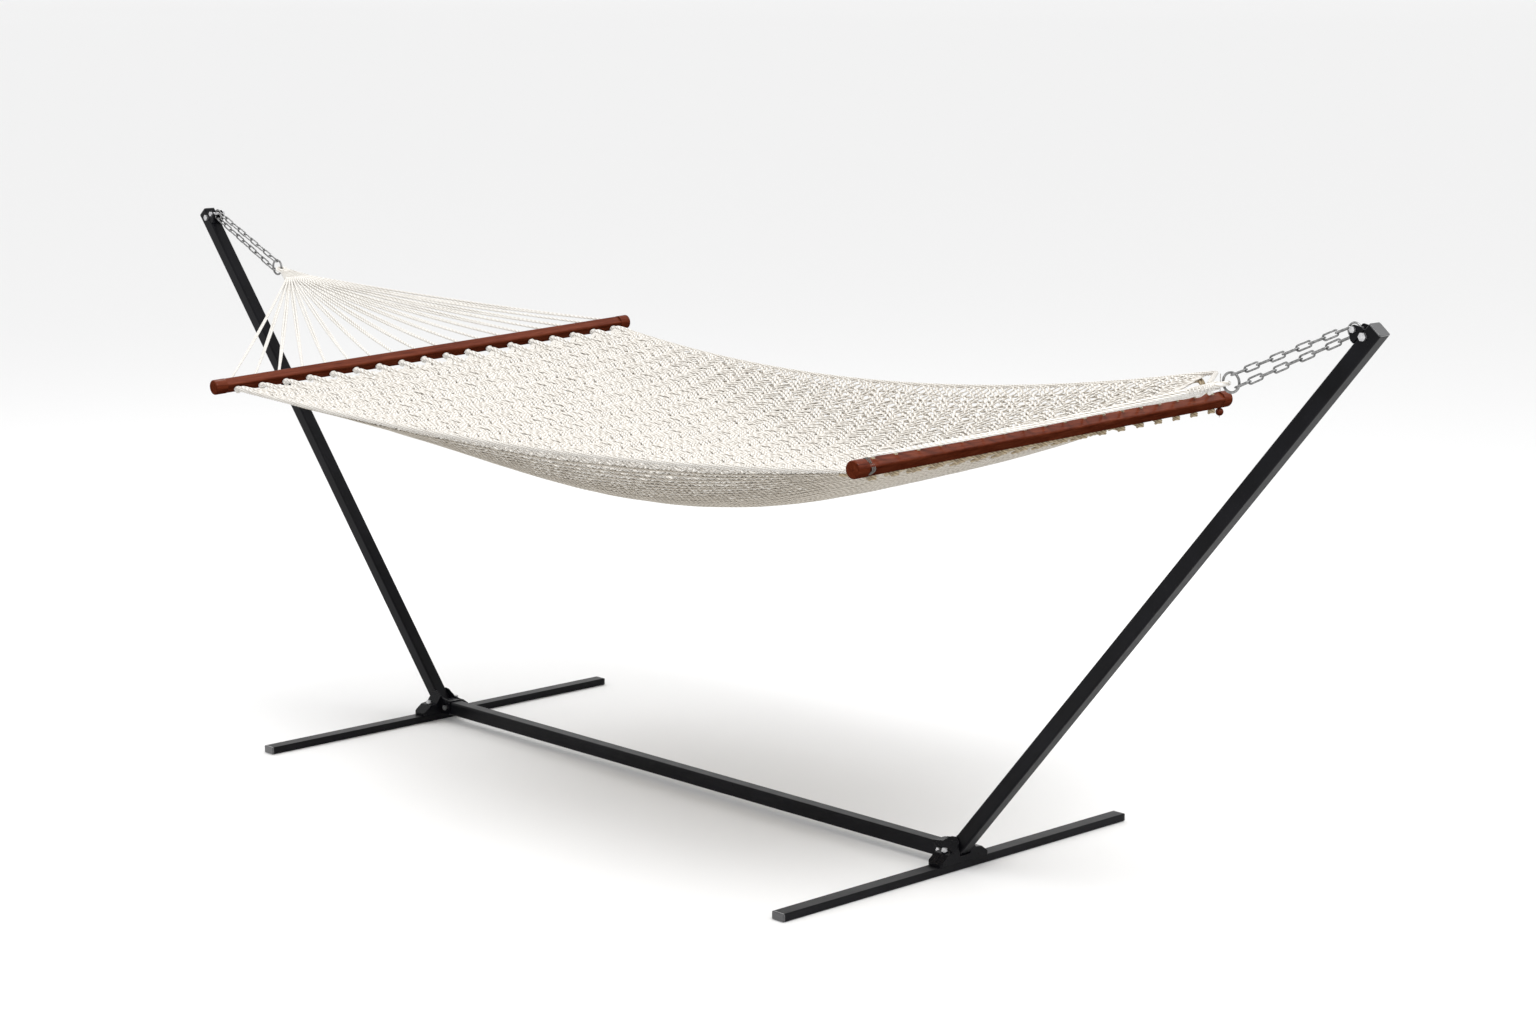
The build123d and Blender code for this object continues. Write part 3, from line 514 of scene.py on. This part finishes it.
def net_cord(bundle, place, direction, drift):
    """One cord of the net: two bundles leave each hole, and bundles cross over and under."""
    offset = (place - (BUNDLE - 1) / 2) * CORD_STEP
    start = (bundle + 0.5) * 2 / BUNDLES - 1
    slope = direction * SLOPE
    course = start + offset + slope * t_line + drift + wandering(0.0006 / NET_HALF, 15, 40)
    s = fold(course)
    s = s * (1 - gather_left) + hole_of(start) * gather_left
    s = s * (1 - gather_right) + hole_of(fold(start + slope)) * gather_right
    points = bed_points(t_line, s * WRAP)
    heading = direction * np.where((course + 1) % 4 < 2, 1, -1)
    inside = np.clip((1 - np.abs(s)) / WRAP_REACH, 0, 1)
    points[:, 2] += WRAP_LIFT * (1 - inside) * spread
    swing = np.cos(pi * t_line * CROSSINGS)
    weave = WEAVE_LIFT * heading * np.sign(swing) * np.abs(swing) ** 0.5
    points[:, 2] += inside * spread * (weave + wandering(0.0006, 20, 60))
    return points


def narrowed(size):
    """Half the width of a net's cord along it, drawn together at the bars."""
    return size / 2 * (0.35 + 0.65 * spread)


def flattened(size):
    """Half its height along it."""
    return size / 2 * (0.8 + 0.2 * spread)


def net_layer(name, direction):
    """All cords that leave the left bar on one slant."""
    tubes = []
    for bundle in range(BUNDLES):
        drift = wandering(0.0018 / NET_HALF, 20, 45)
        for place in range(BUNDLE):
            size = 1 + 0.07 * rng.standard_normal()
            path = net_cord(bundle, place, direction, drift)
            tubes.append(tube(path, narrowed(NET_CORD[0] * size), 6, height=flattened(NET_CORD[1] * size)))
    return mesh_of(name, tubes, net_cotton)


def under_layer(name):
    """The cords that run from bar to bar below the weave."""
    tubes = []
    for k in range(UNDER_CORDS):
        s = (2 * k + 1) / UNDER_CORDS - 1
        s = s * UNDER_REACH + wandering(0.0012 / NET_HALF, 15, 45)
        hole = (k * HOLES // UNDER_CORDS - (HOLES - 1) / 2) * HOLE_PITCH / NET_HALF
        gather = np.maximum(gather_left, gather_right)
        points = bed_points(t_line, s * (1 - gather) + hole * gather)
        points[:, 2] -= spread * (UNDER_DROP + wandering(0.0006, 20, 60))
        tubes.append(tube(points, narrowed(UNDER_CORD[0]), 6, height=flattened(UNDER_CORD[1])))
    return mesh_of(name, tubes, under_cotton)


net = net_layer("rope_net", 1)
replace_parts(net, "net")
net_across = net_layer("rope_net_across", -1)
net_under = under_layer("rope_net_under")

# ================ border ropes ================

RIM = [0, 0.09, 0.22, 0.36, 0.5, 0.64, 0.78, 0.91]
BORDER_PITCH = 0.034


def rim_route(s, stations):
    return [tuple(bed_points(np.float64(t), np.float64(s))) for t in stations]


near_line = smooth_curve(rim_route(-1, RIM + [1]))
border_near = mesh_of("near_border_rope", laid_rope(near_line, BORDER_ROPE, BORDER_PITCH), border_cotton)
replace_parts(border_near, "border_near")

TIE_SPOT = RIGHT_BAR + RIGHT_ALONG * TIE_AT
OVER_BAR = TIE_SPOT + Vector((0.006, -0.024, 0))
OVER_BAR.z = FAR_RIM[1] + 0.006

# ================ clews ================


ACROSS = Vector((0, 1, 0))
EYE_RADIUS = 0.014
EYE_ROPE = 0.012
EYE_GAP = 0.0018  # between the ring's wire and the eye's rope
RING_WIRE = 0.003  # radius
WHIP_TURNS = 7
WHIP_CORD = 0.0021  # radius
WOVEN_ROWS = 7
MOUTH_HALF = 0.040  # half the width of the throat where the cords leave it
THROAT_HALF = 0.0125  # the same at the eye
TWIN_GAP = 0.0031  # from the middle of a pair to each of its cords
LAYER_GAP = 0.0032  # from the middle of the throat to each layer of cords


def ellipse(centre, first, second, angles):
    return [centre + first * cos(a) + second * sin(a) for a in angles]


def clew_cord(order, entry, twin, frame_of, boring):
    """One cord from the eye through the throat to a bar's hole, with a slight sag."""
    start, mouth, above = frame_of
    layer = LAYER_GAP * (1 if order % 2 else -1)
    place = order - (2 * HOLES - 1) / 2
    root = start + ACROSS * (place * 0.0007) + above * (layer * 0.5)
    leave = mouth + ACROSS * (place * MOUTH_HALF / HOLES) + above * layer
    away = entry - leave
    sag = 0.002 + 0.007 * (away.length / 0.9) ** 2 * (0.7 + 0.6 * rng.random())
    apart = ACROSS * (twin * TWIN_GAP)
    line = [root + (leave - root) * q for q in (0, 0.5, 0.9)]
    for q in np.linspace(0, 1, 26)[1:]:
        p = leave + away * q + Vector((0, 0, -sag * 4 * q * (1 - q)))
        line.append(p + apart * (sin(pi * min(1, q * 1.05)) ** 0.7 if q < 0.95 else 0.25))
    line.append(entry + boring * 0.006)
    return tube(resample(line, 0.007), CLEW_CORD / 2, 6)


def clew(end, name, spots, middle, boring, lift, throat_length):
    """The eye round the ring, the woven throat and a pair of cords to every hole."""
    ring = Vector((end * RING.x, 0, RING.z))
    pull = (middle - boring * lift - ring).normalized()
    eye_at = ring + pull * (RING_RADIUS - RING_WIRE - EYE_ROPE / 2 - EYE_GAP + EYE_RADIUS)
    above = ACROSS.cross(pull) * end
    start = eye_at + pull * (EYE_RADIUS + EYE_ROPE / 2)
    mouth = start + pull * throat_length

    # the eye: a rope bent round, whipped where its legs meet
    circle = ellipse(eye_at, pull * -EYE_RADIUS, ACROSS * EYE_RADIUS, np.linspace(0, 2 * pi, 72))
    eye_parts = [tube(circle, EYE_ROPE / 2 * 0.96, 10, closed_ends=False)]
    for k in range(WHIP_TURNS):
        centre = start + pull * (-0.004 + 0.0036 * k)
        wide = THROAT_HALF + 0.0006 * k
        turn = ellipse(centre, ACROSS * wide, above * 0.0078, np.linspace(0, 2 * pi, 20))
        eye_parts.append(tube(turn, WHIP_CORD, 7, closed_ends=False))
    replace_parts(mesh_of(f"{name}_eye", eye_parts, clew_cotton), f"clew_eye_{name}")

    # the cords run through the throat side by side and are held by woven rows
    cords = []
    for k, spot in enumerate(spots):
        for twin in (-1, 1):
            order = 2 * k + (twin + 1) // 2
            cords.append(clew_cord(order, spot - boring * lift, twin, (start, mouth, above), boring))
    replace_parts(mesh_of(f"{name}_clew_cords", cords, clew_cotton), f"clew_cords_{name}")

    rows = []
    xs = np.linspace(-1, 1, 90)
    for r in range(WOVEN_ROWS):
        q = (r + 0.6) / WOVEN_ROWS
        half = THROAT_HALF + (MOUTH_HALF + 0.001 - THROAT_HALF) * q
        centre = start + pull * (throat_length * q)
        wave = np.sin(xs * pi * (6 + 10 * q) + r * pi)
        for layer in (-1, 1):
            heights = layer * (0.0052 + 0.0012 * wave * layer)
            row = [centre + ACROSS * (half * x) + above * float(h) for x, h in zip(xs, heights)]
            rows.append(tube(row, WHIP_CORD, 6))
        for edge in (-1, 1):
            outer = centre + ACROSS * (edge * half)
            turn = ellipse(outer, ACROSS * (edge * 0.0035), above * 0.0055, np.linspace(-pi / 2, pi / 2, 12))
            rows.append(tube(turn, WHIP_CORD, 6))
    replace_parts(mesh_of(f"{name}_throat", rows, clew_cotton), f"throat_{name}")
    return mouth


clew(-1, "left", left_spots, LEFT_BAR, LEFT_BORING, 0.0205, 0.062)
right_mouth = clew(1, "right", right_spots, RIGHT_BAR, DOWN, 0.024, 0.050)

far_end = right_mouth + Vector((-0.006, 0.050, 0.010))
past_bar = OVER_BAR + (far_end - OVER_BAR) * 0.12
far_line = smooth_curve(rim_route(1, RIM) + [tuple(OVER_BAR), tuple(past_bar), tuple(far_end)])
border_far = mesh_of("far_border_rope", laid_rope(far_line, BORDER_ROPE, BORDER_PITCH), border_cotton)
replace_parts(border_far, "border_far")

# ================ loops at the bars ================

LOOP_SIDE = 0.0028  # from a hole's middle to each strand of its loop
LOOP_SPREAD = 0.009  # the same where the strands meet the net
KNOT_SIZE = (0.0068, 0.0062, 0.0052)
KNOT_CORD = 0.0068
KNOT_TURNS = 2.4


def bar_loops(name, spots, boring, level, knot_out, reach, rise, material):
    """The doubled cord out of each hole, its knot, and the two strands that run into the net."""
    parts = []
    across = level.cross(boring).normalized()
    second = across.cross(boring).normalized()
    turns = np.linspace(0, 2 * pi * KNOT_TURNS, 60)
    for k, spot in enumerate(spots):
        s = (k - (HOLES - 1) / 2) * HOLE_PITCH / NET_HALF
        for twin in (-1, 1):
            side = across * (LOOP_SIDE * twin)
            path = [tuple(spot + boring * out + side) for out in (-0.019, 0, 0.0155, knot_out + 0.004)]
            for t, apart in zip(reach, (0.4, 0.8, 1.0)):
                x, y, z = bed_points(np.float64(t), np.float64(s + twin * apart * LOOP_SPREAD / NET_HALF))
                path.append((x, y, z + rise))
            parts.append(tube(smooth_curve(path, 0.003), LOOP_CORD / 2, 8))
        # the knot: turns round the cord
        coil = []
        for a in turns:
            out = knot_out + KNOT_SIZE[2] * (a / turns[-1] - 0.5) * 2
            around = across * (KNOT_SIZE[0] * cos(a)) + second * (KNOT_SIZE[1] * sin(a))
            coil.append(spot + boring * out + around)
        parts.append(tube(coil, KNOT_CORD / 2, 7))
    loops = mesh_of(f"{name}_bar_loops", parts, material)
    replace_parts(loops, f"bar_loops_{name}")


bar_loops("left", left_spots, LEFT_BORING, LEFT_LEVEL, 0.0213, (0.002, 0.016, 0.030), 0.0045, clew_cotton)
# painted shade on the right bar's loops and knots, which sit under the bar
bar_loops("right", right_spots, DOWN, RIGHT_LEVEL, 0.0240, (0.998, 0.985, 0.972), -0.0075, knot_shade_cotton)

# ================ the tie and the lashing ================

TIE_CORD = 0.004
TIE_PITCH = 0.012
TIE_HEIGHTS = (RIGHT_BAR.z - 0.044, RIGHT_BAR.z, RIGHT_BAR.z + 0.03, OVER_BAR.z - BORDER_ROPE / 2)
tie_line = resample([(TIE_SPOT.x, TIE_SPOT.y, z) for z in TIE_HEIGHTS], 0.003)
tie_cord = mesh_of("tie_down_cord", laid_rope(tie_line, TIE_CORD, TIE_PITCH), clew_cotton)
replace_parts(tie_cord, "tie_cord")

LASH_AT = -0.6924  # along the right bar, of the first turn
LASH_TURNS = 3
LASH_PITCH = 0.005
LASH_HALF = 0.0172  # half the square that a turn runs round
LASH_CORNER = 1.24  # and how far its corners reach, as a share of that
LASH_CORD = 0.0011  # radius
LASH_STEPS = 48

lash_parts = []
for k in range(LASH_TURNS):
    centre = RIGHT_BAR + RIGHT_ALONG * (LASH_AT + LASH_PITCH * k)
    turn = []
    for q in range(LASH_STEPS):
        a = 2 * pi * q / LASH_STEPS
        reach = min(LASH_HALF / max(abs(cos(a)), abs(sin(a))), LASH_HALF * LASH_CORNER)
        level, height = reach * cos(a + BAR_TURN), reach * sin(a + BAR_TURN)
        slant = RIGHT_ALONG * (LASH_PITCH * q / LASH_STEPS)
        turn.append(centre + RIGHT_LEVEL * level + Vector((0, 0, height)) + slant)
    lash_parts.append(tube(turn, LASH_CORD, 8))
lashing = mesh_of("end_lashing_cord", lash_parts, grey_cord)
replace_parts(lashing, "end_lashing")

# ================ floor, light and camera ================

floor_material, fn, flinks, fshader = new_material("pale_floor", 0.9)
FLOOR_TONES = [(0.3, (0.88, 0.88, 0.88)), (0.7, (0.91, 0.91, 0.91))]
floor_noise = noise(fn, flinks, 3.0, 2.0)
flinks.new(ramp(fn, flinks, floor_noise.outputs["Fac"], FLOOR_TONES), fshader.inputs["Base Color"])
bpy.ops.mesh.primitive_grid_add(x_subdivisions=24, y_subdivisions=24, size=1200, location=(0, 0, -0.001))
floor = bpy.context.object
floor.name = "floor"
floor.data.materials.append(floor_material)

world = bpy.data.worlds.new("studio")
bpy.context.scene.world = world
world.use_nodes = True
sky = world.node_tree.nodes["Background"]
sky.inputs["Color"].default_value = (1.0, 1.0, 1.0, 1)
sky.inputs["Strength"].default_value = 1.0


def softbox(name, at, towards, size, power):
    data = bpy.data.lights.new(name, "AREA")
    data.shape = "RECTANGLE"
    data.size, data.size_y = size
    data.energy = power
    lamp = bpy.data.objects.new(name, data)
    bpy.context.collection.objects.link(lamp)
    lamp.location = at
    lamp.rotation_euler = (Vector(towards) - Vector(at)).to_track_quat("-Z", "Y").to_euler()


softbox("key", (3.5, -1.5, 6.0), (0, 0, 0.8), (3.0, 3.0), 230)
softbox("fill", (-3.5, 1.0, 5.5), (-0.6, 0, 0.9), (2.5, 2.5), 90)

CAMERA_AT = Vector((5.753, -5.112, 2.127))
CAMERA_YAW = radians(46.54)
CAMERA_PITCH = radians(10.17)
FOCAL = 69.13
cam_data = bpy.data.cameras.new("camera")
cam_data.lens = FOCAL
cam_data.sensor_width = 36
camera = bpy.data.objects.new("camera", cam_data)
bpy.context.collection.objects.link(camera)
camera.location = CAMERA_AT
looking = Vector(
    (
        -sin(CAMERA_YAW) * cos(CAMERA_PITCH),
        cos(CAMERA_YAW) * cos(CAMERA_PITCH),
        -sin(CAMERA_PITCH),
    )
)
camera.rotation_euler = looking.to_track_quat("-Z", "Y").to_euler()
bpy.context.scene.camera = camera
bpy.context.scene.view_settings.view_transform = "Standard"
